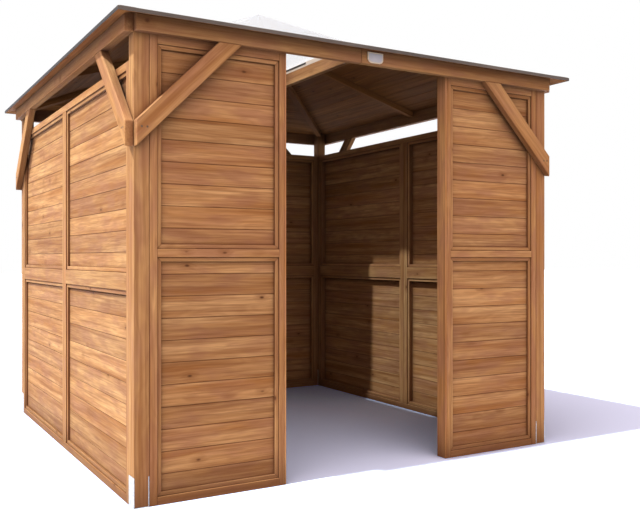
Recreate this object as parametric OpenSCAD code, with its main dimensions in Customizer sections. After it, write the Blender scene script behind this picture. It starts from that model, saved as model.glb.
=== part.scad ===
// Timber gazebo: four posts, boarded wall panels, eave beams with knee braces,
// and a low hip roof with a clear rooflight. Millimetres, +Z up, front wall toward -Y,
// origin on the ground under the middle of the roof.

/* [Overall] */
// Outer width over the corner posts, along the front wall
frame_width = 2774; // [2400:1:3200]
// Outer depth over the corner posts, front to back
frame_depth = 2912; // [2500:1:3200]
// How far the eaves reach out past the corner posts
overhang = 110; // [80:1:200]
// Open gap between the side and back panels and the eave beams
panel_gap = 122; // [60:1:200]
// Height of the roof edge above the underside of the eave beams
eave_rise = 62; // [40:1:90]

/* [Posts] */
// Post width along the front wall
post_width = 78; // [70:1:100]
// Post depth away from the front wall
post_depth = 80; // [70:1:110]
// Height of the steel shoe around each post foot
shoe_height = 150; // [100:1:220]
// Steel thickness of the shoe
shoe_plate = 4; // [3:0.5:6]

/* [Beams and braces] */
// Thickness of the eave beams
beam_thickness = 45; // [28:1:50]
// Width of a knee brace, across its length
brace_width = 90; // [60:1:110]
// Thickness of a knee brace
brace_thickness = 45; // [25:1:50]
// Depth of the knee brace below the beam, measured at its upper edge
brace_drop = 432; // [300:1:520]

/* [Wall panels] */
// Width of each front panel
front_panel_width = 761; // [600:1:900]
// How far the front panels reach up behind the beam
front_panel_lap = 16; // [0:1:24]
// Height of the side and back panels
side_panel_height = 2198; // [2000:1:2400]
// Width of the outer stiles and rails
stile_width = 42; // [34:1:60]
// Width of the middle stile and rail of the large panels
mid_width = 90; // [70:1:120]
// Height of the middle of the front panels' mid rail
front_mid_height = 1246; // [1000:1:1400]
// Height of the middle of the large panels' mid rail
side_mid_height = 1102; // [900:1:1300]
// Thickness of the boards in the panels
board_thickness = 16; // [12:1:22]
// How far the boards sit behind the outer face
board_recess = 21; // [14:1:30]
// Width of the beads that hold the boards
bead_width = 22; // [12:1:30]
// How far the beads stop short of the frame faces
bead_setback = 7; // [2:1:10]

/* [Roof] */
// Rise of the left and right slopes for each unit of run
roof_slope = 0.30; // [0.22:0.01:0.33]
// Thickness of the roof boards, measured upright
roof_board = 14; // [10:1:20]
// Thickness of the felt roof covering, measured upright
roof_felt = 7; // [4:1:10]
// Width of each rafter
rafter_width = 45; // [35:1:60]
// Depth of each rafter under the boards
rafter_depth = 45; // [35:1:90]

/* [Rooflight] */
// Clear width of the rooflight opening, left to right
light_opening = 900; // [700:1:1000]
// Thickness of the trimmers round the opening
trimmer_thickness = 45; // [35:1:60]
// Depth of the trimmers below the ceiling
trimmer_depth = 90; // [70:1:110]
// Thickness of the upstand kerb
kerb_thickness = 30; // [20:1:40]
// Height of the kerb above the ceiling
kerb_height = 34; // [32:1:60]
// Rise of the clear pyramid above its kerb
light_rise = 262; // [150:1:320]
// Thickness of the clear sheet, measured upright
light_sheet = 8; // [5:1:12]

/* [Name plate] */
// Width of the bare plate on the front beam
plate_width = 106; // [80:1:130]
// Height of the bare plate
plate_height = 74; // [50:1:80]
// Thickness of the bare plate
plate_thickness = 6; // [4:1:10]
// Height of the bare plate above the underside of the beam
plate_lift = 5; // [2:1:12]

/* [Hidden] */
half_width = frame_width / 2;
half_depth = frame_depth / 2;
beam_bottom = side_panel_height + panel_gap;
eave_bottom = beam_bottom + eave_rise;
eave = half_width + overhang;
// the roof is as much deeper than wide as this
stretch = (half_depth + overhang) / eave;
wood = [0.62, 0.42, 0.27];
wood_light = [0.80, 0.60, 0.42];
wood_dark = [0.45, 0.30, 0.20];
steel = [0.80, 0.81, 0.82];
felt = [0.30, 0.28, 0.28];
clear = [0.85, 0.90, 0.93, 0.6];
side_span = frame_depth - 2 * post_depth;
back_span = frame_width - 2 * post_width;
front_panel_height = beam_bottom + front_panel_lap;
kerb_outer = light_opening / 2 + kerb_thickness;
ceiling_peak = eave_bottom + roof_slope * eave;
ceiling_at_kerb = ceiling_peak - roof_slope * light_opening / 2;
kerb_top = ceiling_at_kerb + kerb_height;
pane_slope = light_rise / kerb_outer;
pane_lap = 22;
brace_leg = brace_width * sqrt(2);
tiny = 0.01;

// a corner of the roof plan, counted from the front left one
function corner(i, reach, height) =
    let (sx = i == 0 || i == 3 ? -1 : 1)
    let (sy = i < 2 ? -1 : 1)
    [sx * reach, sy * reach * stretch, height];

function four_corners(reach, height) = [for (i = [0:3]) corner(i, reach, height)];

// everything under the roof's pyramid, cut off level near its peak
module under_pyramid(peak, slope) {
    low = -post_depth;
    wide = (peak - low) / slope;
    narrow = light_opening / 8;
    high = peak - slope * narrow;
    polyhedron(
        points = concat(four_corners(wide, low), four_corners(narrow, high)),
        faces = [
            [0, 1, 2, 3], [7, 6, 5, 4], [0, 4, 5, 1], [1, 5, 6, 2], [2, 6, 7, 3], [3, 7, 4, 0]
        ]
    );
}

module under_ceiling() { under_pyramid(ceiling_peak, roof_slope); }

// a ring in the roof's plan shape, sized by its inner half width
module ring(inner, wide, low, high) {
    outer = inner + wide;
    translate([0, 0, low])
    linear_extrude(height = high - low)
    difference() {
        square([2 * outer, 2 * outer * stretch], center = true);
        square([2 * inner, 2 * inner * stretch], center = true);
    }
}

// U-shaped steel shoe: a base plate and two cheeks, let into the post
module shoe_body() {
    cube([post_width, post_depth, shoe_plate]);
    cube([shoe_plate, post_depth, shoe_height]);
    translate([post_width - shoe_plate, 0, 0])
    cube([shoe_plate, post_depth, shoe_height]);
}

module post_body() {
    difference() {
        cube([post_width, post_depth, eave_bottom + post_depth]);
        shoe_body();
    }
}

module at_corner(sx, sy) {
    mirror([sx > 0 ? 1 : 0, 0, 0])
    mirror([0, sy > 0 ? 1 : 0, 0])
    translate([-half_width, -half_depth, 0])
    children();
}

module post(sx, sy) {
    color(wood)
    intersection() {
        at_corner(sx, sy) post_body();
        under_ceiling();
    }
}

module post_shoes() {
    color(steel)
    for (sx = [-1, 1], sy = [-1, 1])
        at_corner(sx, sy) shoe_body();
}

// beams on the outer faces of the posts, each as long as its own wall
module front_beam_body() {
    intersection() {
        translate([-half_width, -half_depth - beam_thickness, beam_bottom])
        cube([frame_width, beam_thickness, eave_bottom + post_depth - beam_bottom]);
        under_ceiling();
    }
}

module side_beam_body() {
    intersection() {
        translate([-half_width - beam_thickness, -half_depth, beam_bottom])
        cube([beam_thickness, frame_depth, eave_bottom + post_depth - beam_bottom]);
        under_ceiling();
    }
}

// knee brace in the x-z plane: plumb cut at the post edge, level cut under the beam
module brace_body(along, out) {
    translate([-along, -out, 0])
    rotate([90, 0, 0])
    linear_extrude(height = brace_thickness)
    polygon([
        [0, beam_bottom - brace_drop - brace_leg],
        [brace_drop + brace_leg, beam_bottom],
        [brace_drop, beam_bottom],
        [0, beam_bottom - brace_drop]
    ]);
}

module brace(turn, flip) {
    color(wood)
    rotate([0, 0, turn])
    mirror([flip, 0, 0])
    brace_body(
        turn % 180 == 0 ? half_width : half_depth,
        turn % 180 == 0 ? half_depth : half_width
    );
}

// the bays of a front panel, one column of two: [x, z, width, height]
function front_bays() =
    let (wide = front_panel_width - 2 * stile_width)
    let (mid_low = front_mid_height - stile_width / 2)
    let (mid_high = front_mid_height + stile_width / 2)
    [
        [stile_width, stile_width, wide, mid_low - stile_width],
        [stile_width, mid_high, wide, beam_bottom - stile_width - mid_high]
    ];

// the bays of a side or back panel, two columns of two
function wide_bays(span) =
    let (wide = (span - 2 * stile_width - mid_width) / 2)
    let (mid_low = side_mid_height - mid_width / 2)
    let (mid_high = side_mid_height + mid_width / 2)
    [
        for (x = [stile_width, stile_width + wide + mid_width])
            each [
                [x, stile_width, wide, mid_low - stile_width],
                [x, mid_high, wide, side_panel_height - stile_width - mid_high]
            ]
    ];

// a panel stands on the x axis with its outer face at y = 0
module panel_frame(span, tall, deep, bays) {
    difference() {
        cube([span, deep, tall]);
        for (bay = bays)
            translate([bay[0], -tiny, bay[1]])
            cube([bay[2], deep + 2 * tiny, bay[3]]);
    }
}

module panel_boards(bays) {
    for (bay = bays)
        translate([bay[0], board_recess, bay[1]])
        cube([bay[2], board_thickness, bay[3]]);
}

module bead_ring(bay, near, far) {
    difference() {
        translate([bay[0], near, bay[1]])
        cube([bay[2], far - near, bay[3]]);
        translate([bay[0] + bead_width, near - tiny, bay[1] + bead_width])
        cube([bay[2] - 2 * bead_width, far - near + 2 * tiny, bay[3] - 2 * bead_width]);
    }
}

module panel_beads(deep, bays) {
    for (bay = bays) {
        bead_ring(bay, bead_setback, board_recess);
        bead_ring(bay, board_recess + board_thickness, deep - bead_setback);
    }
}

module at_front(side) {
    mirror([side, 0, 0])
    translate([-half_width + post_width, -half_depth, 0])
    children();
}

module at_left() {
    translate([-half_width, side_span / 2, 0])
    rotate([0, 0, -90])
    children();
}

module at_back() {
    mirror([0, 1, 0])
    translate([-back_span / 2, -half_depth, 0])
    children();
}

// one slope of the roof: a sloping layer mitred along the hips
module slope_layer(i, inner, lift, thick) {
    low = eave_bottom + lift;
    high = ceiling_peak - roof_slope * inner + lift;
    j = (i + 1) % 4;
    polyhedron(
        points = [
            for (rise = [0, thick])
                each [
                    corner(i, eave, low + rise), corner(j, eave, low + rise),
                    corner(j, inner, high + rise), corner(i, inner, high + rise)
                ]
        ],
        faces = [
            [0, 1, 2, 3], [7, 6, 5, 4], [0, 4, 5, 1], [1, 5, 6, 2], [2, 6, 7, 3], [3, 7, 4, 0]
        ]
    );
}

module ceiling(i) {
    color(wood_dark)
    slope_layer(i, kerb_outer, 0, roof_board);
}

// a rafter along +x, its top left high for the ceiling to cut
module rafter_body(head, foot, fall) {
    translate([0, rafter_width / 2, 0])
    rotate([90, 0, 0])
    linear_extrude(height = rafter_width)
    polygon([
        [head, ceiling_peak - fall * head - rafter_depth], [head, ceiling_peak],
        [foot, ceiling_peak], [foot, ceiling_peak - fall * foot - rafter_depth]
    ]);
}

// hip rafters end on the post heads, middle rafters on the beams; all start at the trimmers
module rafters() {
    diagonal = norm([1, stretch]);
    head = light_opening / 2 + trimmer_thickness;
    foot = half_width - post_width;
    color(wood)
    intersection() {
        difference() {
            for (sx = [0, 1], sy = [0, 1])
                mirror([sx, 0, 0])
                mirror([0, sy, 0])
                rotate([0, 0, atan(stretch)])
                rafter_body(head * diagonal - rafter_width, foot * diagonal + post_width, roof_slope / diagonal);
            for (sx = [-1, 1], sy = [-1, 1])
                at_corner(sx, sy) cube([post_width, post_depth, ceiling_peak]);
            cube([2 * head, 2 * head * stretch, 4 * ceiling_peak], center = true);
        }
        under_ceiling();
    }
    color(wood)
    intersection() {
        union() {
            for (turn = [0, 180])
                rotate([0, 0, turn])
                rafter_body(head, half_width, roof_slope);
            for (turn = [90, 270])
                rotate([0, 0, turn])
                rafter_body(head * stretch, half_depth, roof_slope / stretch);
        }
        under_ceiling();
    }
}

module roof_covering() {
    color(felt)
    for (i = [0:3])
        slope_layer(i, kerb_outer, roof_board, roof_felt);
}

module rooflight_trimmers() {
    color(wood)
    intersection() {
        ring(light_opening / 2, trimmer_thickness, ceiling_at_kerb - trimmer_depth, kerb_top);
        under_ceiling();
    }
}

// upstand round the opening, its top bevelled to carry the panes
module rooflight_kerb() {
    color(wood_light)
    intersection() {
        difference() {
            ring(light_opening / 2, kerb_thickness, ceiling_at_kerb - trimmer_depth / 2, ceiling_peak);
            under_ceiling();
        }
        under_pyramid(kerb_top + light_rise, pane_slope);
    }
}

// one clear triangular pane of the rooflight, mitred along its hips
module pane(i) {
    foot = kerb_outer + pane_lap;
    low = kerb_top - pane_slope * pane_lap;
    peak = kerb_top + light_rise;
    j = (i + 1) % 4;
    color(clear)
    polyhedron(
        points = [
            for (rise = [0, light_sheet])
                each [corner(i, foot, low + rise), corner(j, foot, low + rise), [0, 0, peak + rise]]
        ],
        faces = [[0, 1, 2], [5, 4, 3], [0, 3, 4, 1], [1, 4, 5, 2], [2, 5, 3, 0]]
    );
}

// bare shield-shaped plate, fixed to the face of the front beam
module name_plate() {
    shoulder = plate_height * 0.36;
    color(wood_light)
    translate([0, -half_depth - beam_thickness, beam_bottom + plate_lift])
    rotate([90, 0, 0])
    linear_extrude(height = plate_thickness)
    polygon([
        [-plate_width / 2, plate_height], [-plate_width / 2, shoulder],
        [-plate_width * 0.38, shoulder * 0.35], [-plate_width * 0.20, 0],
        [plate_width * 0.20, 0], [plate_width * 0.38, shoulder * 0.35],
        [plate_width / 2, shoulder], [plate_width / 2, plate_height]
    ]);
}

module post_front_left() { post(-1, -1); }
module post_front_right() { post(1, -1); }
module post_back_left() { post(-1, 1); }
module post_back_right() { post(1, 1); }
module beam_front() { color(wood) front_beam_body(); }
module beam_back() { color(wood) mirror([0, 1, 0]) front_beam_body(); }
module beam_left() { color(wood) side_beam_body(); }
module beam_right() { color(wood) mirror([1, 0, 0]) side_beam_body(); }
module brace_front_left() { brace(0, 0); }
module brace_front_right() { brace(0, 1); }
module brace_back_left() { brace(180, 1); }
module brace_back_right() { brace(180, 0); }
module brace_left_front() { brace(270, 1); }
module brace_left_back() { brace(270, 0); }
module brace_right_front() { brace(90, 0); }
module brace_right_back() { brace(90, 1); }

module front_frame_body() {
    panel_frame(front_panel_width, front_panel_height, post_depth, front_bays());
}
module frame_front_left() { color(wood) at_front(0) front_frame_body(); }
module frame_front_right() { color(wood) at_front(1) front_frame_body(); }
module side_frame_body() {
    at_left() panel_frame(side_span, side_panel_height, post_width, wide_bays(side_span));
}
module frame_left() { color(wood) side_frame_body(); }
module frame_right() { color(wood) mirror([1, 0, 0]) side_frame_body(); }
module frame_back() {
    color(wood) at_back() panel_frame(back_span, side_panel_height, post_depth, wide_bays(back_span));
}
module boards_front_left() { color(wood_light) at_front(0) panel_boards(front_bays()); }
module boards_front_right() { color(wood_light) at_front(1) panel_boards(front_bays()); }
module boards_left() { color(wood_light) at_left() panel_boards(wide_bays(side_span)); }
module boards_right() {
    color(wood_light) mirror([1, 0, 0]) at_left() panel_boards(wide_bays(side_span));
}
module boards_back() { color(wood_light) at_back() panel_boards(wide_bays(back_span)); }
module beads_front_left() { color(wood) at_front(0) panel_beads(post_depth, front_bays()); }
module beads_front_right() { color(wood) at_front(1) panel_beads(post_depth, front_bays()); }
module beads_left() { color(wood) at_left() panel_beads(post_width, wide_bays(side_span)); }
module beads_right() {
    color(wood) mirror([1, 0, 0]) at_left() panel_beads(post_width, wide_bays(side_span));
}
module beads_back() { color(wood) at_back() panel_beads(post_depth, wide_bays(back_span)); }
module ceiling_front() { ceiling(0); }
module ceiling_right() { ceiling(1); }
module ceiling_back() { ceiling(2); }
module ceiling_left() { ceiling(3); }
module pane_front() { pane(0); }
module pane_right() { pane(1); }
module pane_back() { pane(2); }
module pane_left() { pane(3); }

post_front_left();
post_front_right();
post_back_left();
post_back_right();
post_shoes();
beam_front();
beam_back();
beam_left();
beam_right();
brace_front_left();
brace_front_right();
brace_back_left();
brace_back_right();
brace_left_front();
brace_left_back();
brace_right_front();
brace_right_back();
frame_front_left();
frame_front_right();
frame_left();
frame_right();
frame_back();
boards_front_left();
boards_front_right();
boards_left();
boards_right();
boards_back();
beads_front_left();
beads_front_right();
beads_left();
beads_right();
beads_back();
ceiling_front();
ceiling_back();
ceiling_left();
ceiling_right();
rafters();
roof_covering();
rooflight_trimmers();
rooflight_kerb();
pane_front();
pane_back();
pane_left();
pane_right();
name_plate();
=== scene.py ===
import math
import random

import bmesh
import bpy
from mathutils import Matrix, Vector


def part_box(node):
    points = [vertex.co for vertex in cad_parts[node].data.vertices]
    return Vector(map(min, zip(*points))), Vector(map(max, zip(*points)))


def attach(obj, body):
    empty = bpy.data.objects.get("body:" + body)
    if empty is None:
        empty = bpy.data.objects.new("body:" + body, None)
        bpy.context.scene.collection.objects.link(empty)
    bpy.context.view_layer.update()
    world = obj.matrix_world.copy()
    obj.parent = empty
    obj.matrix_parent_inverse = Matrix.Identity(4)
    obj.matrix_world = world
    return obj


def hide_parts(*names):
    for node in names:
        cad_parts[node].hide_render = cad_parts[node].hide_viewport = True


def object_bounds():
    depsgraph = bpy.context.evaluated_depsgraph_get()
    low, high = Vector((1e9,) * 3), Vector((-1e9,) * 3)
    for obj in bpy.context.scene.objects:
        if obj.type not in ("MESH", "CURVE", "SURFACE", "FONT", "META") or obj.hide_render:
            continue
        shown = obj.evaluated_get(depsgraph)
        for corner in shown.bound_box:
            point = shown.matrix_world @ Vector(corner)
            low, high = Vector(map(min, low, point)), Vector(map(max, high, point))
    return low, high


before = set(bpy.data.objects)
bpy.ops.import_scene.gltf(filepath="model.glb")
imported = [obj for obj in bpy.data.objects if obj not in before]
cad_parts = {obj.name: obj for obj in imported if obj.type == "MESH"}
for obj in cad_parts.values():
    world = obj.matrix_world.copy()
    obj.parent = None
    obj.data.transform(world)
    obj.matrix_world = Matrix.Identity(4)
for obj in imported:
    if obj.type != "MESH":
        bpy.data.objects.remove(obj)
cadLow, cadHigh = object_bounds()
print("frame loaded")

mm = 0.001  # sizes are millimetres until they meet Blender's metres
chance = random.Random(11)  # one seed, so that every run draws the same boards


# A hex colour in linear light, with an alpha of one.
def linear(code):
    parts = [int(code[i:i + 2], 16) / 255 for i in (1, 3, 5)]
    return tuple(c / 12.92 if c <= 0.04045 else ((c + 0.055) / 1.055) ** 2.4 for c in parts) + (1.0,)


# A node with its settings, and each input linked where its value is a socket, or else set.
def addNode(tree, kind, values=None, **settings):
    node = tree.nodes.new(kind)
    for key, value in settings.items():
        setattr(node, key, value)
    for key, value in (values or {}).items():
        if isinstance(value, bpy.types.NodeSocket):
            tree.links.new(value, node.inputs[key])
        else:
            node.inputs[key].default_value = value
    return node


def newMaterial(name):
    material = bpy.data.materials.new(name)
    material.use_nodes = True
    material.node_tree.nodes.clear()
    return material, material.node_tree


# The grain of every timber: noises as millimetres along and across the fibres and a level of detail, then
# where each effect starts and is full. Finer than thread can't be seen as colour from a few metres, so hair
# shows only in the gloss and the bump.
grain = {
    "band": (1300, 60, 2.5), "streak": (750, 24, 2.5), "patch": (260, 85, 2.0),
    "thread": (240, 8, 2.5), "hair": (110, 2.4, 2.0), "bend": (500, 110, 2.0), "broken": 0.6,
    "bandEdge": (0.34, 0.66), "streakEdge": (0.46, 0.70), "patchEdge": (0.52, 0.74),
    "threadEdge": (0.45, 0.75), "ringEdge": (-0.7, 1.0), "paintedShadeEdge": (0.95, 0.40),
    "knotEdge": (0.085, 0.03), "haloEdge": (0.30, 0.04), "pushMm": 12, "haloShow": 0.5,
    "knotLoose": 0.65, "knotStep": 0.02, "patchLots": 7.3, "patchSway": 0.16,
    "bump": 0.12, "hairBump": 0.5, "smooth": 0.62, "matt": 0.85, "gloss": 0.18, "paintedShadeRays": 6}


# Planed softwood under a translucent stain: the growth rings show as long soft stripes that swing round small
# dark knots, every length has its own depth of stain, shade is painted dark into its corners and pockets, and
# the face is half matt.
def timberMaterial(name, look):
    material, tree = newMaterial(name)
    space = addNode(tree, "ShaderNodeAttribute", attribute_name="woodSpace").outputs["Vector"]
    tone = addNode(tree, "ShaderNodeAttribute", attribute_name="tone").outputs["Fac"]
    noise = {}
    for key in ("band", "streak", "patch", "thread", "hair", "bend"):
        lengthMm, acrossMm, detail = grain[key]
        scale = (1000 / lengthMm, 1000 / acrossMm, 1000 / acrossMm)
        scaled = addNode(tree, "ShaderNodeVectorMath", {0: space, 1: scale}, operation="MULTIPLY").outputs[0]
        values = {"Vector": scaled, "Scale": 1.0, "Detail": detail, "Roughness": grain["broken"]}
        noise[key] = addNode(tree, "ShaderNodeTexNoise", values).outputs["Fac"]

    # The wood is filled with cells, and a few of them keep a knot at their middle, with a halo round it.
    scale = [1000 / apart for apart in look["knotMm"]]
    scaled = addNode(tree, "ShaderNodeVectorMath", {0: space, 1: scale}, operation="MULTIPLY").outputs[0]
    values = {"Vector": scaled, "Scale": 1.0, "Randomness": grain["knotLoose"]}
    cells = addNode(tree, "ShaderNodeTexVoronoi", values).outputs
    lot = addNode(tree, "ShaderNodeSeparateColor", {0: cells["Color"]}).outputs[0]
    values = {"Value": lot, "From Min": look["knotRare"], "From Max": look["knotRare"] + grain["knotStep"]}
    kept = addNode(tree, "ShaderNodeMapRange", values).outputs["Result"]
    start, full = grain["haloEdge"]
    values = {"Value": cells["Distance"], "From Min": start, "From Max": full, "To Max": kept}
    halo = addNode(tree, "ShaderNodeMapRange", values).outputs["Result"]

    # Rings go by the distance from the heart of the log, which wavers and is pushed out round a knot.
    parts = addNode(tree, "ShaderNodeSeparateXYZ", {0: space}).outputs
    across = addNode(tree, "ShaderNodeCombineXYZ", {"Y": parts["Y"], "Z": parts["Z"]}).outputs[0]
    radius = addNode(tree, "ShaderNodeVectorMath", {0: across}, operation="LENGTH").outputs["Value"]
    values = {0: noise["bend"], 1: look["bendMm"] * mm, 2: radius}
    waved = addNode(tree, "ShaderNodeMath", values, operation="MULTIPLY_ADD").outputs[0]
    values = {0: halo, 1: grain["pushMm"] * mm, 2: waved}
    swung = addNode(tree, "ShaderNodeMath", values, operation="MULTIPLY_ADD").outputs[0]
    values = {0: swung, 1: 2 * math.pi / (look["ringMm"] * mm)}
    turned = addNode(tree, "ShaderNodeMath", values, operation="MULTIPLY").outputs[0]
    wave = addNode(tree, "ShaderNodeMath", {0: turned}, operation="SINE").outputs[0]
    start, full = grain["ringEdge"]
    values = {"Value": wave, "From Min": start, "From Max": full}
    ring = addNode(tree, "ShaderNodeMapRange", values).outputs["Result"]

    # Warm patches come on some lengths more than on others.
    values = {0: tone, 1: grain["patchLots"]}
    drawn = addNode(tree, "ShaderNodeMath", values, operation="MULTIPLY").outputs[0]
    lots = addNode(tree, "ShaderNodeMath", {0: drawn}, operation="FRACT").outputs[0]
    values = {0: lots, 1: grain["patchSway"], 2: noise["patch"]}
    patched = addNode(tree, "ShaderNodeMath", values, operation="MULTIPLY_ADD").outputs[0]

    # Over the palest colour each layer lays its own where its pattern is strong.
    faint = addNode(tree, "ShaderNodeMath", {0: kept, 1: grain["haloShow"]}, operation="MULTIPLY").outputs[0]
    layers = (
        ("band", noise["band"], 1.0, "deep"),
        ("patch", patched, look["patchShow"], "warm"),
        ("streak", noise["streak"], look["streakShow"], "late"),
        ("ring", wave, look["ringShow"], "late"),
        ("thread", noise["thread"], look["threadShow"], "late"),
        ("halo", cells["Distance"], faint, "late"),
        ("knot", cells["Distance"], kept, "knot"))
    colour = linear(look["pale"])
    for pattern, value, show, over in layers:
        start, full = grain[pattern + "Edge"]
        values = {"Value": value, "From Min": start, "From Max": full, "To Max": show}
        share = addNode(tree, "ShaderNodeMapRange", values).outputs["Result"]
        values = {"Factor": share, "A": colour, "B": linear(look[over])}
        colour = addNode(tree, "ShaderNodeMix", values, data_type="RGBA").outputs["Result"]

    # The length's own depth of stain, then painted shade laid dark into corners and pockets.
    values = {"Value": tone, "To Min": look["toneLow"], "To Max": look["toneHigh"]}
    depth = addNode(tree, "ShaderNodeMapRange", values, clamp=False).outputs["Result"]
    grey = addNode(tree, "ShaderNodeCombineColor", {0: depth, 1: depth, 2: depth}).outputs[0]
    values = {"Factor": 1.0, "A": colour, "B": grey}
    colour = addNode(tree, "ShaderNodeMix", values, data_type="RGBA", blend_type="MULTIPLY").outputs["Result"]
    values = {"Distance": look["paintedShadeMm"] * mm}
    clearance = addNode(tree, "ShaderNodeAmbientOcclusion", values, samples=grain["paintedShadeRays"]).outputs["AO"]
    start, full = grain["paintedShadeEdge"]
    values = {"Value": clearance, "From Min": start, "From Max": full, "To Max": look["paintedShadeShow"]}
    share = addNode(tree, "ShaderNodeMapRange", values).outputs["Result"]
    values = {"Factor": share, "A": colour, "B": linear(look["knot"])}
    colour = addNode(tree, "ShaderNodeMix", values, data_type="RGBA").outputs["Result"]

    values = {0: noise["hair"], 1: grain["hairBump"], 2: ring}
    height = addNode(tree, "ShaderNodeMath", values, operation="MULTIPLY_ADD").outputs[0]
    values = {"Height": height, "Strength": grain["bump"], "Distance": mm}
    bump = addNode(tree, "ShaderNodeBump", values).outputs["Normal"]
    values = {"Value": noise["hair"], "To Min": grain["smooth"], "To Max": grain["matt"]}
    rough = addNode(tree, "ShaderNodeMapRange", values).outputs["Result"]
    values = {"Base Color": colour, "Roughness": rough, "Normal": bump, "Specular IOR Level": grain["gloss"]}
    surface = addNode(tree, "ShaderNodeBsdfPrincipled", values).outputs["BSDF"]
    addNode(tree, "ShaderNodeOutputMaterial", {"Surface": surface})
    return material


# Every timber has its own colours and its own strength of each effect, from nought to one. A knot may stand
# once in each knotMm along, across and out, and knotRare is about the share of those places that stays clear.
# The corner settings give the reach in millimetres and the strength of the painted shade in corners and
# pockets.
frameTimber = timberMaterial("stained pine framing", {
    "pale": "#e0b280", "deep": "#bc8656", "warm": "#bb886b", "late": "#8d5935", "knot": "#66402a",
    "knotMm": (200, 91, 167), "knotRare": 0.74, "ringMm": 14, "bendMm": 100, "ringShow": 0.14,
    "patchShow": 0.7, "streakShow": 0.5, "threadShow": 0.4, "paintedShadeMm": 230, "paintedShadeShow": 0.85,
    "toneLow": 0.86, "toneHigh": 1.08})
boardTimber = timberMaterial("stained pine matchboard", {
    "pale": "#e2b483", "deep": "#b67f4e", "warm": "#b48268", "late": "#885431", "knot": "#66402a",
    "knotMm": (200, 100, 200), "knotRare": 0.70, "ringMm": 14, "bendMm": 100, "ringShow": 0.14,
    "patchShow": 0.62, "streakShow": 0.55, "threadShow": 0.5, "paintedShadeMm": 230, "paintedShadeShow": 0.85,
    "toneLow": 0.86, "toneHigh": 1.08})
ceilingTimber = timberMaterial("stained pine ceiling board", {
    "pale": "#cf9259", "deep": "#a56d3d", "warm": "#ae754e", "late": "#7f512e", "knot": "#402618",
    "knotMm": (200, 100, 200), "knotRare": 0.70, "ringMm": 10, "bendMm": 60, "ringShow": 0.2,
    "patchShow": 0.6, "streakShow": 0.6, "threadShow": 0.3, "paintedShadeMm": 70, "paintedShadeShow": 0.25,
    "toneLow": 0.80, "toneHigh": 1.08})
kerbTimber = timberMaterial("pale unstained pine", {
    "pale": "#f8f0e8", "deep": "#efe2d6", "warm": "#f4e8de", "late": "#dccab8", "knot": "#bca288",
    "knotMm": (312.5, 111, 200), "knotRare": 0.9, "ringMm": 8, "bendMm": 50, "ringShow": 0.2,
    "patchShow": 0.4, "streakShow": 0.3, "threadShow": 0.2, "paintedShadeMm": 70, "paintedShadeShow": 0.0,
    "toneLow": 0.96, "toneHigh": 1.02})


# Hot-dip galvanised steel: pale zinc in a faint mottle of crystals, more satin than mirror.
def zincMaterial():
    look = {"bright": "#dcdcdc", "dull": "#b9bbbf", "crystalMm": 11.0, "metal": 0.3, "rough": 0.42}
    material, tree = newMaterial("galvanised steel")
    space = addNode(tree, "ShaderNodeTexCoord").outputs["Object"]
    values = {"Vector": space, "Scale": 1000 / look["crystalMm"]}
    crystals = addNode(tree, "ShaderNodeTexVoronoi", values).outputs["Color"]
    grey = addNode(tree, "ShaderNodeSeparateColor", {0: crystals}).outputs[0]
    values = {"Factor": grey, "A": linear(look["bright"]), "B": linear(look["dull"])}
    colour = addNode(tree, "ShaderNodeMix", values, data_type="RGBA").outputs["Result"]
    values = {"Base Color": colour, "Metallic": look["metal"], "Roughness": look["rough"]}
    surface = addNode(tree, "ShaderNodeBsdfPrincipled", values).outputs["BSDF"]
    addNode(tree, "ShaderNodeOutputMaterial", {"Surface": surface})
    return material


# Bitumen roofing felt with a slate mineral face: dull grey-brown, speckled with stone grit. A low tone shows
# less grit, painting shade, and a high tone more, painting light. The grit is drawn coarser than the real
# one, so that it shows.
def feltMaterial():
    look = {"dark": "#35302f", "grit": "#7b7370", "gritMm": 3.0, "gritDetail": 2.0, "cloudMm": 330.0,
            "cloudDetail": 3.0, "spread": (-0.08, 0.52), "shadedGrit": 0.1, "litGrit": 1.27, "bump": 0.3,
            "rough": 0.9}
    material, tree = newMaterial("mineral roofing felt")
    space = addNode(tree, "ShaderNodeTexCoord").outputs["Object"]
    values = {"Vector": space, "Scale": 1000 / look["gritMm"], "Detail": look["gritDetail"]}
    grit = addNode(tree, "ShaderNodeTexNoise", values).outputs["Fac"]
    values = {"Vector": space, "Scale": 1000 / look["cloudMm"], "Detail": look["cloudDetail"]}
    cloud = addNode(tree, "ShaderNodeTexNoise", values).outputs["Fac"]
    amount = addNode(tree, "ShaderNodeMath", {0: grit, 1: cloud}, operation="MULTIPLY").outputs[0]
    values = {"Value": amount, "From Min": look["spread"][0], "From Max": look["spread"][1]}
    share = addNode(tree, "ShaderNodeMapRange", values).outputs["Result"]
    tone = addNode(tree, "ShaderNodeAttribute", attribute_name="tone").outputs["Fac"]
    values = {"Value": tone, "To Min": look["shadedGrit"], "To Max": look["litGrit"]}
    left = addNode(tree, "ShaderNodeMapRange", values).outputs["Result"]
    share = addNode(tree, "ShaderNodeMath", {0: share, 1: left}, operation="MULTIPLY").outputs[0]
    values = {"Factor": share, "A": linear(look["dark"]), "B": linear(look["grit"])}
    colour = addNode(tree, "ShaderNodeMix", values, data_type="RGBA").outputs["Result"]
    values = {"Height": grit, "Strength": look["bump"], "Distance": mm}
    bump = addNode(tree, "ShaderNodeBump", values).outputs["Normal"]
    values = {"Base Color": colour, "Roughness": look["rough"], "Normal": bump}
    surface = addNode(tree, "ShaderNodeBsdfPrincipled", values).outputs["BSDF"]
    addNode(tree, "ShaderNodeOutputMaterial", {"Surface": surface})
    return material


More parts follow.
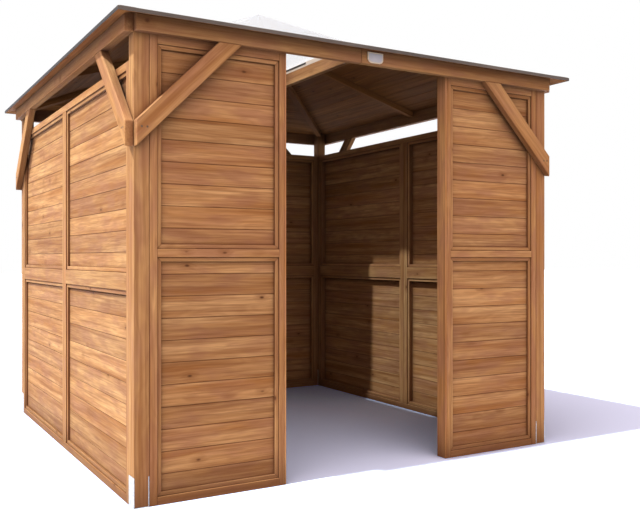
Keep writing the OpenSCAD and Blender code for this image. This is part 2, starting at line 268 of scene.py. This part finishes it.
# Twin-wall polycarbonate: nearly clear with a faint milkiness and gloss, and its webs take a little of the
# sun's beam at each face.
def clearMaterial():
    look = {"tint": "#fefeff", "beam": "#e6e7ea", "milk": "#fafaff", "scattered": 0.08, "backlit": 0.5,
            "gloss": 0.04, "rough": 0.1}
    material, tree = newMaterial("twin-wall polycarbonate")
    shadow = addNode(tree, "ShaderNodeLightPath").outputs["Is Shadow Ray"]
    values = {"Factor": shadow, "A": linear(look["tint"]), "B": linear(look["beam"])}
    tint = addNode(tree, "ShaderNodeMix", values, data_type="RGBA").outputs["Result"]
    through = addNode(tree, "ShaderNodeBsdfTransparent", {"Color": tint}).outputs[0]
    front = addNode(tree, "ShaderNodeBsdfDiffuse", {"Color": linear(look["milk"])}).outputs[0]
    back = addNode(tree, "ShaderNodeBsdfTranslucent", {"Color": linear(look["milk"])}).outputs[0]
    values = {"Color": (1, 1, 1, 1), "Roughness": look["rough"]}
    gloss = addNode(tree, "ShaderNodeBsdfGlossy", values).outputs[0]
    milk = addNode(tree, "ShaderNodeMixShader", {0: look["backlit"], 1: front, 2: back}).outputs[0]
    body = addNode(tree, "ShaderNodeMixShader", {0: look["scattered"], 1: through, 2: milk}).outputs[0]
    sheet = addNode(tree, "ShaderNodeMixShader", {0: look["gloss"], 1: body, 2: gloss}).outputs[0]
    addNode(tree, "ShaderNodeOutputMaterial", {"Surface": sheet})
    return material


# A small part's surface that wavers between two colours in soft clouds.
def cloudedMaterial(name, look):
    material, tree = newMaterial(name)
    space = addNode(tree, "ShaderNodeTexCoord").outputs["Object"]
    values = {"Vector": space, "Scale": 1000 / look["cloudMm"]}
    cloud = addNode(tree, "ShaderNodeTexNoise", values).outputs["Fac"]
    values = {"Factor": cloud, "A": linear(look["first"]), "B": linear(look["second"])}
    colour = addNode(tree, "ShaderNodeMix", values, data_type="RGBA").outputs["Result"]
    values = {"Base Color": colour, "Metallic": look["metal"], "Roughness": look["rough"]}
    surface = addNode(tree, "ShaderNodeBsdfPrincipled", values).outputs["BSDF"]
    addNode(tree, "ShaderNodeOutputMaterial", {"Surface": surface})
    return material


zinc, felt, clearSheet = zincMaterial(), feltMaterial(), clearMaterial()
# Zinc-plated screw heads under the same brush of stain: small dull dark dots.
screwZinc = cloudedMaterial("stained screw head", {
    "first": "#54422f", "second": "#7c6650", "cloudMm": 4.0, "metal": 0.5, "rough": 0.5})
# Powder-coated sheet steel for the bare plate: cool near-white, very slightly uneven.
plateSteel = cloudedMaterial("powder-coated plate", {
    "first": "#d9ddf0", "second": "#c4cae2", "cloudMm": 40.0, "metal": 0.0, "rough": 0.45})
# Black sealing rubber, dull and a little dusty.
rubber = cloudedMaterial("black sealing rubber", {
    "first": "#1b1a19", "second": "#3a3836", "cloudMm": 25.0, "metal": 0.0, "rough": 0.6})
print("materials made")


# Lengths of timber gather in a pile, which keeps each one's place in the log and its depth of stain.
def newPile():
    pile = bmesh.new()
    pile.verts.layers.float_vector.new("woodSpace")
    pile.verts.layers.float.new("tone")
    return pile


def placing(origin, first, second, third):
    place = Matrix((first, second, third)).transposed().to_4x4()
    place.translation = origin
    return place


carrier = bpy.data.meshes.new("carrier")
# Where in the log a length is sawn from, in metres along it, across it and out from its heart.
sawn = {"along": (0, 40), "across": (-0.06, 0.06), "out": (0.02, 0.10)}


# One piece of timber: an outline in a plane, thickened from low to high, where high may be a rule by the
# outline's second measure. Its length runs in the outline at the angle lie, or along the thickening where
# endwise is set. Planes in cuts trim it before its arrises are eased by edge. Its tone is drawn by lot if
# none is given.
def addTimber(pile, place, outline, low, high, lie=0.0, endwise=False, edge=1.5, tone=None, cuts=()):
    bm = newPile()
    under = bm.faces.new([bm.verts.new((x * mm, y * mm, low * mm)) for x, y in outline])
    made = bmesh.ops.extrude_face_region(bm, geom=[under])["geom"]
    for vert in [v for v in made if isinstance(v, bmesh.types.BMVert)]:
        vert.co.z = (high(vert.co.y / mm) if callable(high) else high) * mm
    inverse = place.inverted()
    for spot, normal in cuts:
        geometry = bm.verts[:] + bm.edges[:] + bm.faces[:]
        cut = bmesh.ops.bisect_plane(bm, geom=geometry, plane_co=inverse @ spot,
                                     plane_no=inverse.to_3x3() @ normal, clear_outer=True)["geom_cut"]
        bmesh.ops.holes_fill(bm, edges=[e for e in cut if isinstance(e, bmesh.types.BMEdge)])
    bmesh.ops.recalc_face_normals(bm, faces=bm.faces)
    if edge:
        bmesh.ops.bevel(bm, geom=bm.edges[:], offset=edge * mm, offset_type="OFFSET", segments=1, profile=0.5,
                        affect="EDGES", clamp_overlap=True, material=-1)
    turn = Matrix(((0, 0, 1), (1, 0, 0), (0, 1, 0))) if endwise else Matrix.Rotation(-lie, 3, "Z")
    middle = turn @ (sum((v.co for v in bm.verts), Vector()) / len(bm.verts))
    pith = Vector([chance.uniform(*sawn[way]) for way in ("along", "across", "out")])
    level = chance.random() if tone is None else tone
    woodSpace = bm.verts.layers.float_vector["woodSpace"]
    toneLayer = bm.verts.layers.float["tone"]
    for vert in bm.verts:
        vert[woodSpace] = turn @ vert.co - middle + pith
        vert[toneLayer] = level
    bmesh.ops.transform(bm, matrix=place, verts=bm.verts)
    if place.determinant() < 0:
        bmesh.ops.reverse_faces(bm, faces=bm.faces)
    bm.to_mesh(carrier)
    pile.from_mesh(carrier)
    bm.free()


def box(x0, x1, y0, y1):
    return [(x0, y0), (x1, y0), (x1, y1), (x0, y1)]


# The finished pile as one object at the origin, riding on the body and standing in for its CAD nodes.
def finishPiece(name, pile, material, nodes):
    mesh = bpy.data.meshes.new(name)
    pile.to_mesh(mesh)
    pile.free()
    mesh.materials.append(material)
    piece = bpy.data.objects.new(name, mesh)
    bpy.context.scene.collection.objects.link(piece)
    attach(piece, "root")
    if nodes:
        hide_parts(*nodes)


# The four walls, each seen from outside: along is to the right, inward is towards the room.
postLow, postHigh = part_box("post_front_left")
halfWidth, halfDepth = -postLow.x / mm, -postLow.y / mm
postWidth, postDepth = (postHigh.x - postLow.x) / mm, (postHigh.y - postLow.y) / mm
up = Vector((0, 0, 1))
upright = math.pi / 2
sides = {
    "front": {"along": Vector((1, 0, 0)), "inward": Vector((0, 1, 0)), "reach": halfWidth, "out": halfDepth},
    "right": {"along": Vector((0, 1, 0)), "inward": Vector((-1, 0, 0)), "reach": halfDepth, "out": halfWidth},
    "back": {"along": Vector((-1, 0, 0)), "inward": Vector((0, -1, 0)), "reach": halfWidth, "out": halfDepth},
    "left": {"along": Vector((0, -1, 0)), "inward": Vector((1, 0, 0)), "reach": halfDepth, "out": halfWidth},
}
# The roof is drawn out from front to back, so the slopes over these two walls have the longer run.
longSides = ("front", "back")
walls = {name: placing(-side["inward"] * side["out"] * mm, side["along"], up, side["inward"])
         for name, side in sides.items()}
beamLow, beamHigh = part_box("beam_front")
beamBottom, beamThick = beamLow.z / mm, (beamHigh.y - beamLow.y) / mm

# The roof is four slopes of one pitch, drawn out a little from front to back, so the long way is flatter.
roofLook = {"pitch": 0.30, "boardThick": 14, "feltThick": 7, "cover": 110.5, "joint": 1.0, "courses": 5,
            "clear": 0.3, "hipGap": 0.4}
eaveX, eaveY = cadHigh.x / mm, cadHigh.y / mm
stretch = eaveY / eaveX
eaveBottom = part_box("ceiling_front")[0].z / mm
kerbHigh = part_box("rooflight_kerb")[1]
kerbOuter = kerbHigh.x / mm
slopes = {}
for name, side in sides.items():
    long = name in longSides
    tilt = math.atan(roofLook["pitch"] / (stretch if long else 1))
    eave = eaveY if long else eaveX
    normal = up * math.cos(tilt) - side["inward"] * math.sin(tilt)
    foot = -side["inward"] * eave * mm + up * eaveBottom * mm
    upSlope = side["inward"] * math.cos(tilt) + up * math.sin(tilt)
    slopes[name] = {
        "place": placing(foot, side["along"], upSlope, normal),
        "eave": eave, "tilt": tilt, "widen": 1 / stretch if long else stretch,
        "run": (eave - kerbOuter * (stretch if long else 1)) / math.cos(tilt),
        "cut": (foot - up * roofLook["clear"] * mm, normal)}
underRoof = [slope["cut"] for slope in slopes.values()]

screws = newPile()


# The low round head of a screw on a face.
def addScrew(place, x, y, face):
    look = {"radius": 5.0, "proud": 0.8, "sunk": 0.5, "corners": 10}
    turns = [2 * math.pi * i / look["corners"] for i in range(look["corners"])]
    outline = [(x + look["radius"] * math.cos(a), y + look["radius"] * math.sin(a)) for a in turns]
    addTimber(screws, place, outline, face - look["proud"], face + look["sunk"], edge=0)


# Corner posts, let in at the foot for the cheeks and base of the steel shoe.
def makePosts():
    look = {"ease": 2.0, "shoeHigh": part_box("post_shoes")[1].z / mm, "steel": 4.0, "steelEase": 0.6}
    steel, high, top = look["steel"], look["shoeHigh"], postHigh.z / mm
    profile = [(0, top), (postWidth, top), (postWidth, high), (postWidth - steel, high),
               (postWidth - steel, steel), (steel, steel), (steel, high), (0, high)]
    shoeParts = (box(0, steel, 0, high), box(steel, postWidth - steel, 0, steel),
                 box(postWidth - steel, postWidth, 0, high))
    shoes = newPile()
    for wall in longSides:
        for hand in (-1, 1):
            def outward(points):
                return [(hand * (halfWidth - x), z) for x, z in points]

            pile = newPile()
            addTimber(pile, walls[wall], outward(profile), 0, postDepth, lie=upright, edge=look["ease"],
                      cuts=underRoof)
            name = f"post_{wall}_{'left' if (hand < 0) == (wall == 'front') else 'right'}"
            finishPiece(name + "_timber", pile, frameTimber, [name])
            for part in shoeParts:
                addTimber(shoes, walls[wall], outward(part), 0, postDepth, edge=look["steelEase"])
    finishPiece("post_shoes_steel", shoes, zinc, ["post_shoes"])


makePosts()
print("posts stood")


# Eave beams on the outer faces of the posts, each as long as its own wall, the front one in two lengths.
def makeBeams():
    look = {"splice": -92, "seam": 1.2, "ease": 2.0}
    section = box(-beamThick, 0, beamBottom, postHigh.z / mm)
    for name, side in sides.items():
        reach = side["reach"]
        place = placing(walls[name].translation, side["inward"], up, side["along"])
        spans = [(-reach, reach)]
        if name == "front":
            spans = [(-reach, look["splice"]), (look["splice"] + look["seam"], reach)]
        pile = newPile()
        for start, end in spans:
            addTimber(pile, place, section, start, end, endwise=True, edge=look["ease"], cuts=underRoof)
        finishPiece(f"beam_{name}_timber", pile, frameTimber, [f"beam_{name}"])


# Knee braces at 45 degrees, cut plumb at the post's edge and level under the beam.
def makeBraces():
    look = {"wide": 90, "screws": ((26, 96), (54, 96)), "ease": 3.5}
    braceLow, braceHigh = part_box("brace_front_left")
    drop, thick = (braceHigh.z - braceLow.z) / mm, (braceHigh.y - braceLow.y) / mm
    leg = look["wide"] * math.sqrt(2)
    names = {"front": ("front_left", "front_right"), "right": ("right_front", "right_back"),
             "back": ("back_right", "back_left"), "left": ("left_back", "left_front")}
    for wall, ends in names.items():
        for hand, name in zip((-1, 1), ends):
            reach = sides[wall]["reach"]
            profile = ((0, -drop), (drop, 0), (drop - leg, 0), (0, leg - drop))
            outline = [(hand * (reach - x), beamBottom + z) for x, z in profile]
            pile = newPile()
            addTimber(pile, walls[wall], outline, -thick, 0, lie=-hand * math.pi / 4, edge=look["ease"])
            finishPiece(f"brace_{name}_timber", pile, frameTimber, [f"brace_{name}"])
            for x, z in look["screws"]:
                addScrew(walls[wall], hand * (reach - x), beamBottom - drop + z, -thick)


makeBeams()
makeBraces()
print("beams and braces fixed")


# Wall panels.
# Two tones paint light: the dark frame tone paints the shade inside the room on the right and back walls, and
# the pale edging tone, past the end of the stain's range, paints light on the door's jambs.
panelLook = {
    "stile": 42, "middle": 90, "rail": 42, "recess": 21, "edging": 12, "seam": 1.2, "fitting": 1.5,
    "boardThick": 16, "cover": 110.5, "firstBoard": 104, "joint": 1.2, "vee": 2.2, "boardIn": 1, "shy": 0.6,
    "warp": 0.5, "tongue": 4, "housed": 3, "bead": 22, "beadBack": 7, "beadGap": 1.2, "beadEase": 1.6,
    "backing": 2, "backingIn": 8, "backingShort": 1, "shadedFrame": 0.05, "paleFrame": 0.8, "litEdging": 1.9,
    "wideRail": (1057, 1147), "frontRail": (1225, 1267)}


# Mitred beads round a bay, from near to far through the wall.
def addBead(pile, place, bay, near, far):
    x0, x1, z0, z1 = bay
    gap, wide = panelLook["beadGap"], panelLook["bead"]
    outer = box(x0 + gap, x1 - gap, z0 + gap, z1 - gap)
    inner = box(x0 + wide, x1 - wide, z0 + wide, z1 - wide)
    bottom = [outer[0], outer[1], inner[1], inner[0]]
    top = [inner[3], inner[2], outer[2], outer[3]]
    left = [outer[0], inner[0], inner[3], outer[3]]
    right = [inner[1], outer[1], outer[2], inner[2]]
    for outline, lie in ((bottom, 0.0), (top, 0.0), (left, upright), (right, upright)):
        addTimber(pile, place, outline, near, far, lie=lie, edge=panelLook["beadEase"])


# Level boards from the foot of a bay up, the last one ripped to fit. One sheet behind their joints stands in
# for the tongues, and is let into the frame so that no daylight shows at its edges.
def addBoards(pile, place, bay):
    look = panelLook
    x0, x1, z0, z1 = bay
    inset = look["boardIn"]
    near, far = look["recess"] + look["shy"], look["recess"] + look["boardThick"] - look["shy"]
    bottom, top = z0 + inset, z0 + look["firstBoard"]
    while bottom < z1 - inset:
        top = min(top, z1 - inset)
        warp = chance.uniform(-look["warp"], look["warp"])
        outline = box(x0 + inset, x1 - inset, bottom, top - look["joint"])
        addTimber(pile, place, outline, near + warp, far + warp, edge=look["vee"])
        bottom, top = top, top + look["cover"]
    centre, half, housed = (near + far) / 2, look["tongue"] / 2, look["housed"]
    outline = box(x0 - housed, x1 + housed, z0 - housed, z1 + housed)
    addTimber(pile, place, outline, centre - half, centre + half, edge=0, tone=0.0)


# A framed panel: stiles full height, rails between them, and in each bay boards held by beads on both faces.
# A door side has its stile in two strips, and any other panel has a pair of stiles in the middle. Dark strips
# behind the seams keep daylight out.
def makePanel(name, wall, x0, x1, height, topEnd, midRail, deep, doorSide=0):
    look, place = panelLook, walls[wall]
    # Frames on the right and back walls take a dark tone that paints the room's shade on them, and the door's
    # edging strips a pale tone that paints light on the jambs.
    if doorSide:
        tone = look["paleFrame"]
    else:
        tone = look["shadedFrame"] if wall in ("right", "back") else None
    timber, boards, beads = newPile(), newPile(), newPile()
    inner0, inner1 = x0 + look["stile"], x1 - look["stile"]
    ends = [x0 if doorSide < 0 else x0 + look["fitting"], x1 if doorSide > 0 else x1 - look["fitting"]]
    uprights = [(ends[0], inner0, height, tone), (inner1, ends[1], height, tone)]
    seams = [(x, height) for x in ends if x not in (x0, x1)]
    half, rail = look["seam"] / 2, look["rail"]
    if doorSide > 0:
        a, b = uprights.pop(1)[:2]
        split = b - look["edging"]
        uprights += [(a, split - half, height, tone), (split + half, b, height, look["litEdging"])]
        seams.append((split, height))
    elif doorSide < 0:
        a, b = uprights.pop(0)[:2]
        split = a + look["edging"]
        uprights += [(a, split - half, height, look["litEdging"]), (split + half, b, height, tone)]
        seams.append((split, height))
    spans = [(inner0, inner1)]
    if not doorSide:
        centre, wide = (inner0 + inner1) / 2, look["middle"] / 2
        uprights.append((centre - wide, centre - half, topEnd, tone))
        uprights.append((centre + half, centre + wide, topEnd, tone))
        spans = [(inner0, centre - wide), (centre + wide, inner1)]
        seams.append((centre, topEnd))
    for a, b, top, shade in uprights:
        foot = 0 if top == height else rail
        addTimber(timber, place, box(a, b, foot, top), 0, deep, lie=upright, tone=shade)
    backing, inward, short = look["backing"], look["backingIn"], look["backingShort"]
    for x, top in seams:
        outline = box(x - backing, x + backing, short, top - short)
        addTimber(timber, place, outline, inward, deep - inward, lie=upright, edge=0, tone=0.0)
    addTimber(timber, place, box(inner0, inner1, 0, rail), 0, deep, tone=tone)
    addTimber(timber, place, box(inner0, inner1, topEnd, height), 0, deep, tone=tone)
    for a, b in spans:
        addTimber(timber, place, box(a, b, *midRail), 0, deep, tone=tone)
        for bay in ((a, b, rail, midRail[0]), (a, b, midRail[1], topEnd)):
            addBoards(boards, place, bay)
            addBead(beads, place, bay, look["beadBack"], look["recess"])
            addBead(beads, place, bay, look["recess"] + look["boardThick"], deep - look["beadBack"])
    finishPiece(f"frame_{name}_timber", timber, frameTimber, [f"frame_{name}"])
    finishPiece(f"boards_{name}_timber", boards, boardTimber, [f"boards_{name}"])
    finishPiece(f"beads_{name}_timber", beads, frameTimber, [f"beads_{name}"])


def makeWalls():
    frontLow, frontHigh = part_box("frame_front_left")
    height, wide = frontHigh.z / mm, (frontHigh.x - frontLow.x) / mm
    topEnd = beamBottom - panelLook["rail"]
    start = halfWidth - postWidth
    rail = panelLook["frontRail"]
    makePanel("front_left", "front", -start, wide - start, height, topEnd, rail, postDepth, doorSide=1)
    makePanel("front_right", "front", start - wide, start, height, topEnd, rail, postDepth, doorSide=-1)
    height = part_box("frame_left")[1].z / mm
    topEnd = height - panelLook["rail"]
    reach = halfDepth - postDepth
    rail = panelLook["wideRail"]
    makePanel("left", "left", -reach, reach, height, topEnd, rail, postWidth)
    makePanel("right", "right", -reach, reach, height, topEnd, rail, postWidth)
    makePanel("back", "back", -start, start, height, topEnd, rail, postDepth)


makeWalls()
print("walls boarded")


# The part of a slope between two distances up it from the eave, mitred at the hips.
def slopeBand(slope, s0, s1):
    ends = []
    for s in (s0, s1):
        inPlan = slope["eave"] - s * math.cos(slope["tilt"])
        ends.append(inPlan * slope["widen"] - roofLook["hipGap"])
    return [(-ends[0], s0), (ends[0], s0), (ends[1], s1), (-ends[1], s1)]


# Boarded ceiling, its boards level along each slope, with a sheet behind the joints for their tongues.
def makeCeiling():
    look = {"setBack": 5.0, "ease": 2.2, "under": 0.3, "over": 0.2, "tongue": 2, "tongueIn": 4,
            "tongueShort": 1}
    for name, slope in slopes.items():
        thick = roofLook["boardThick"] * math.cos(slope["tilt"])
        count = round((slope["run"] - look["setBack"]) / roofLook["cover"])
        cover = (slope["run"] - look["setBack"]) / count
        pile = newPile()
        for i in range(count):
            s0 = look["setBack"] + i * cover
            board = slopeBand(slope, s0, s0 + cover - roofLook["joint"])
            addTimber(pile, slope["place"], board, look["under"], thick - look["over"], edge=look["ease"])
        inner = slopeBand(slope, look["setBack"] + look["tongueIn"], slope["run"] - look["tongueShort"])
        addTimber(pile, slope["place"], inner, thick / 2, thick / 2 + look["tongue"], edge=0, tone=0.0)
        finishPiece(f"ceiling_{name}_timber", pile, ceilingTimber, [f"ceiling_{name}"])


# Felt laid in lapped courses, turned down over the eaves and capped along the hips.
def makeFelt():
    look = {"lip": 3.2, "setBack": 7.0, "below": 0.4, "ease": 0.8, "skirt": 18.5, "skirtThick": 3,
            "skirtDrop": 1, "cap": 70, "capUnder": 3.4, "capOver": 1.2, "capFoot": 10.0, "capHead": 3,
            "tone": 0.76, "edgeLightTones": {"left": 0.0, "front": 1.0}}
    skirtTop = eaveBottom + roofLook["boardThick"] + roofLook["feltThick"] - look["skirtDrop"]
    ease, tone = look["ease"], look["tone"]
    pile = newPile()
    for name, slope in slopes.items():
        base = roofLook["boardThick"] * math.cos(slope["tilt"])
        full = base + roofLook["feltThick"] * math.cos(slope["tilt"])
        top = full - look["below"]
        course = (slope["run"] - look["setBack"]) / roofLook["courses"]
        for i in range(roofLook["courses"]):
            s0 = look["setBack"] + i * course

            def surface(s):
                return top - (s - s0) * look["lip"] / course

            outline = slopeBand(slope, s0, s0 + course)
            addTimber(pile, slope["place"], outline, base, surface, edge=ease, tone=tone)
        (x0, s0), (x1, s1) = slopeBand(slope, look["capFoot"], slope["run"] - look["capHead"])[1:3]
        cap = [(x0, s0), (x1, s1), (x1 - look["cap"], s1), (x0 - look["cap"], s0)]
        for hand in (-1, 1):
            outline = [(hand * x, s) for x, s in cap]
            addTimber(pile, slope["place"], outline, full - look["capUnder"], top + look["capOver"],
                      edge=ease, tone=tone)
        # The turned-down edges take their own tones: the lowest on the left, painting shade, and the highest
        # on the front, painting light.
        reach = eaveX if name in longSides else eaveY - look["skirtThick"]
        out = sides[name]["out"] - slope["eave"]
        outline = box(-reach, reach, skirtTop - look["skirt"], skirtTop)
        addTimber(pile, walls[name], outline, out, out + look["skirtThick"], edge=ease,
                  tone=look["edgeLightTones"].get(name, tone))
    finishPiece("roof_covering_felt", pile, felt, ["roof_covering"])


# Rafters under the ceiling: hips from the trimmers to the post heads, and one up the middle of each slope.
def makeRafters():
    look = {"half": 22.5, "depth": 45, "housed": 22}
    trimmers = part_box("rooflight_trimmers")[1]
    peak = eaveBottom + roofLook["pitch"] * eaveX
    diagonal = math.hypot(1, stretch)
    pile = newPile()

    # One rafter outward from the middle, between two distances from it, falling as the roof does.
    def addRafter(out, head, foot, fall):
        place = placing(Vector((0, 0, 0)), out, up, Vector((-out.y, out.x, 0)))
        high0, high1 = peak - fall * head, peak - fall * foot
        outline = [(head, high0), (head, high0 - look["depth"]), (foot, high1 - look["depth"]), (foot, high1)]
        addTimber(pile, place, outline, -look["half"], look["half"], lie=-math.atan(fall), cuts=underRoof)

    for handX in (-1, 1):
        for handY in (-1, 1):
            out = Vector((handX, handY * stretch, 0)) / diagonal
            head = trimmers.x / mm * diagonal
            foot = (halfWidth - postWidth) * diagonal + look["housed"]
            addRafter(out, head, foot, roofLook["pitch"] / diagonal)
    for name, side in sides.items():
        head = (trimmers.y if name in longSides else trimmers.x) / mm
        addRafter(-side["inward"], head, side["out"], math.tan(slopes[name]["tilt"]))
    finishPiece("rafters_timber", pile, ceilingTimber, ["rafters"])


# Trimmers and a pale kerb round the rooflight, with a length of seal inside it. The four panes keep their CAD
# shape and get their material.
def makeRooflight():
    look = {"kerbThick": 30, "kerbFall": 0.55, "ease": 1.2, "seal": (95, 420), "sealBelow": 4, "sealTall": 12,
            "sealThick": 4, "sealEase": 0.6}
    trimLow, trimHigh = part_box("rooflight_trimmers")
    inner, outer = kerbOuter - look["kerbThick"], trimHigh.x / mm
    shelf = eaveBottom + roofLook["pitch"] * (eaveX - inner)
    kerbTop = kerbHigh.z / mm - look["kerbThick"] * look["kerbFall"]
    trims, kerbs = newPile(), newPile()
    for name, side in sides.items():
        long = name in longSides
        off, along = (stretch, 1) if long else (1, stretch)
        place = placing(Vector((0, 0, 0)), side["along"], up, side["inward"])
        reach = (outer if long else inner) * along
        outline = box(-reach, reach, trimLow.z / mm, shelf)
        addTimber(trims, place, outline, -outer * off, -inner * off, cuts=underRoof)
        reach = (kerbOuter if long else inner) * along
        outline = box(-reach, reach, shelf, kerbTop)
        addTimber(kerbs, place, outline, -kerbOuter * off, -inner * off, edge=look["ease"])
    seal = newPile()
    place = placing(Vector((0, 0, 0)), sides["right"]["along"], up, sides["right"]["inward"])
    sealTop = kerbTop - look["sealBelow"]
    outline = box(*look["seal"], sealTop - look["sealTall"], sealTop)
    addTimber(seal, place, outline, -inner, look["sealThick"] - inner, edge=look["sealEase"])
    finishPiece("rooflight_seal", seal, rubber, [])
    finishPiece("rooflight_trimmers_timber", trims, frameTimber, ["rooflight_trimmers"])
    finishPiece("rooflight_kerb_timber", kerbs, kerbTimber, ["rooflight_kerb"])
    for name in sides:
        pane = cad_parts[f"pane_{name}"]
        pane.data.materials.clear()
        pane.data.materials.append(clearSheet)


makeCeiling()
makeFelt()
makeRafters()
makeRooflight()
print("roof laid")


# Bare plate on the front beam: a pale timber back with a coated sheet let into its face. Its outline has
# straight sides down to the shoulders, and narrows from them to a flat foot.
def makePlate():
    look = {"foot": 0.60, "turn": 0.86, "turnUp": 0.35, "shoulder": 0.32, "rim": 7, "sheet": 1.0,
            "shaded": 12, "ease": 1.5, "sheetEase": 0.3}
    low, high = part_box("name_plate")
    wide, tall, base = (high.x - low.x) / mm, (high.z - low.z) / mm - look["shaded"], low.z / mm
    face = -beamThick - (high.y - low.y) / mm

    def shield(inset):
        half, top, foot = wide / 2 - inset, tall - inset, inset
        shoulder = foot + (top - foot) * look["shoulder"]
        turn = foot + (shoulder - foot) * look["turnUp"]
        right = [(half * look["foot"], foot), (half * look["turn"], turn), (half, shoulder), (half, top)]
        return [(x, base + z) for x, z in right] + [(-x, base + z) for x, z in reversed(right)]

    back, sheet = newPile(), newPile()
    addTimber(back, walls["front"], shield(0), face + look["sheet"] / 2, -beamThick, edge=look["ease"])
    addTimber(sheet, walls["front"], shield(look["rim"]), face, face + look["sheet"], edge=look["sheetEase"])
    finishPiece("name_plate_timber", back, kerbTimber, ["name_plate"])
    finishPiece("name_plate_face", sheet, plateSteel, ["name_plate"])


makePlate()
finishPiece("screw_heads", screws, screwZinc, [])
bpy.data.meshes.remove(carrier)
print("small parts fixed")


# One for camera rays and for what glossy and see-through faces show, nought for all other light.
def straightSight(tree):
    rays = addNode(tree, "ShaderNodeLightPath").outputs
    values = {0: rays["Is Camera Ray"], 1: rays["Is Glossy Ray"]}
    either = addNode(tree, "ShaderNodeMath", values, operation="MAXIMUM").outputs[0]
    values = {0: either, 1: rays["Is Transmission Ray"]}
    return addNode(tree, "ShaderNodeMath", values, operation="MAXIMUM").outputs[0]


# Ground that looks white in the sun and pale violet in shade, with painted shade making it deeper under
# cover, yet lights the walls no more than a mid grey would. Its seen colours are linear, the brighter over
# one so that weakly lit shade stays pale.
def makeStage():
    look = {"seen": (1.40, 1.72, 2.52, 1.0), "shadedGround": (0.55, 0.65, 1.03, 1.0), "bounced": "#a09c98",
            "size": 60.0, "shadeReachM": 1.8, "open": 0.9, "closed": 0.25, "rays": 6}
    material, tree = newMaterial("white ground")
    # Painted shade: where the ambient occlusion finds cover, the seen colour turns to a darker one.
    values = {"Distance": look["shadeReachM"]}
    openness = addNode(tree, "ShaderNodeAmbientOcclusion", values, samples=look["rays"]).outputs["AO"]
    values = {"Value": openness, "From Min": look["open"], "From Max": look["closed"]}
    coverShade = addNode(tree, "ShaderNodeMapRange", values).outputs["Result"]
    values = {"Factor": coverShade, "A": look["seen"], "B": look["shadedGround"]}
    shaded = addNode(tree, "ShaderNodeMix", values, data_type="RGBA").outputs["Result"]
    values = {"Factor": straightSight(tree), "A": linear(look["bounced"]), "B": shaded}
    colour = addNode(tree, "ShaderNodeMix", values, data_type="RGBA").outputs["Result"]
    surface = addNode(tree, "ShaderNodeBsdfDiffuse", {"Color": colour}).outputs[0]
    addNode(tree, "ShaderNodeOutputMaterial", {"Surface": surface})
    bm = bmesh.new()
    bmesh.ops.create_grid(bm, x_segments=1, y_segments=1, size=look["size"])
    mesh = bpy.data.meshes.new("ground")
    bm.to_mesh(mesh)
    bm.free()
    mesh.materials.append(material)
    ground = bpy.data.objects.new("ground", mesh)
    bpy.context.scene.collection.objects.link(ground)


# High sun from the left, and a soft sky that is brightest in front and to the left.
def makeLight():
    look = {"sunStrength": 4.33, "sunRise": 57.2, "sunTurn": 1.7, "sunSize": 1.6, "sunColour": "#fbfff3",
            "sky": "#ffe4d4", "bright": (-0.62, -0.70, 0.35), "front": 1.27, "behind": 0.08,
            "fade": (-0.4, 0.95)}
    lamp = bpy.data.lights.new("sun", "SUN")
    lamp.energy = look["sunStrength"]
    lamp.angle = math.radians(look["sunSize"])
    lamp.color = linear(look["sunColour"])[:3]
    sun = bpy.data.objects.new("sun", lamp)
    bpy.context.scene.collection.objects.link(sun)
    rise, turn = math.radians(look["sunRise"]), math.radians(look["sunTurn"])
    travel = Vector((math.cos(rise) * math.cos(turn), math.cos(rise) * math.sin(turn), -math.sin(rise)))
    sun.rotation_mode = "QUATERNION"
    sun.rotation_quaternion = travel.to_track_quat("-Z", "Y")
    world = bpy.data.worlds.new("open sky")
    world.use_nodes = True
    world.node_tree.nodes.clear()
    tree = world.node_tree
    towards = addNode(tree, "ShaderNodeTexCoord").outputs["Generated"]
    facing = addNode(tree, "ShaderNodeVectorMath", {0: towards, 1: look["bright"]}, operation="DOT_PRODUCT")
    values = {"Value": facing.outputs["Value"], "From Min": look["fade"][0], "From Max": look["fade"][1],
              "To Min": look["behind"], "To Max": look["front"]}
    level = addNode(tree, "ShaderNodeMapRange", values, interpolation_type="SMOOTHSTEP").outputs["Result"]
    sky = addNode(tree, "ShaderNodeBackground", {"Color": linear(look["sky"]), "Strength": level}).outputs[0]
    white = addNode(tree, "ShaderNodeBackground", {"Color": (1, 1, 1, 1), "Strength": 1.0}).outputs[0]
    mixed = addNode(tree, "ShaderNodeMixShader", {0: straightSight(tree), 1: sky, 2: white}).outputs[0]
    addNode(tree, "ShaderNodeOutputWorld", {"Surface": mixed})
    bpy.context.scene.world = world


# A level camera in front of the left corner, at chest height.
def makeCamera():
    look = {"place": (-2.5794, -5.2608, 1.2198), "turn": 30.53, "lens": 45.01, "sensor": 36.0,
            "shift": (-0.0005, 0.0034), "farthest": 200.0}
    data = bpy.data.cameras.new("camera")
    data.lens = look["lens"]
    data.sensor_width = look["sensor"]
    data.shift_x, data.shift_y = look["shift"]
    data.clip_end = look["farthest"]
    camera = bpy.data.objects.new("camera", data)
    bpy.context.scene.collection.objects.link(camera)
    camera.location = look["place"]
    camera.rotation_euler = (math.pi / 2, 0, -math.radians(look["turn"]))
    bpy.context.scene.camera = camera


makeStage()
makeLight()
makeCamera()
scene = bpy.context.scene
scene.view_settings.view_transform = "Standard"
scene.cycles.use_denoising = True
scene.cycles.max_bounces = 8
scene.cycles.diffuse_bounces = 1
scene.cycles.transparent_max_bounces = 16
print("stage set")
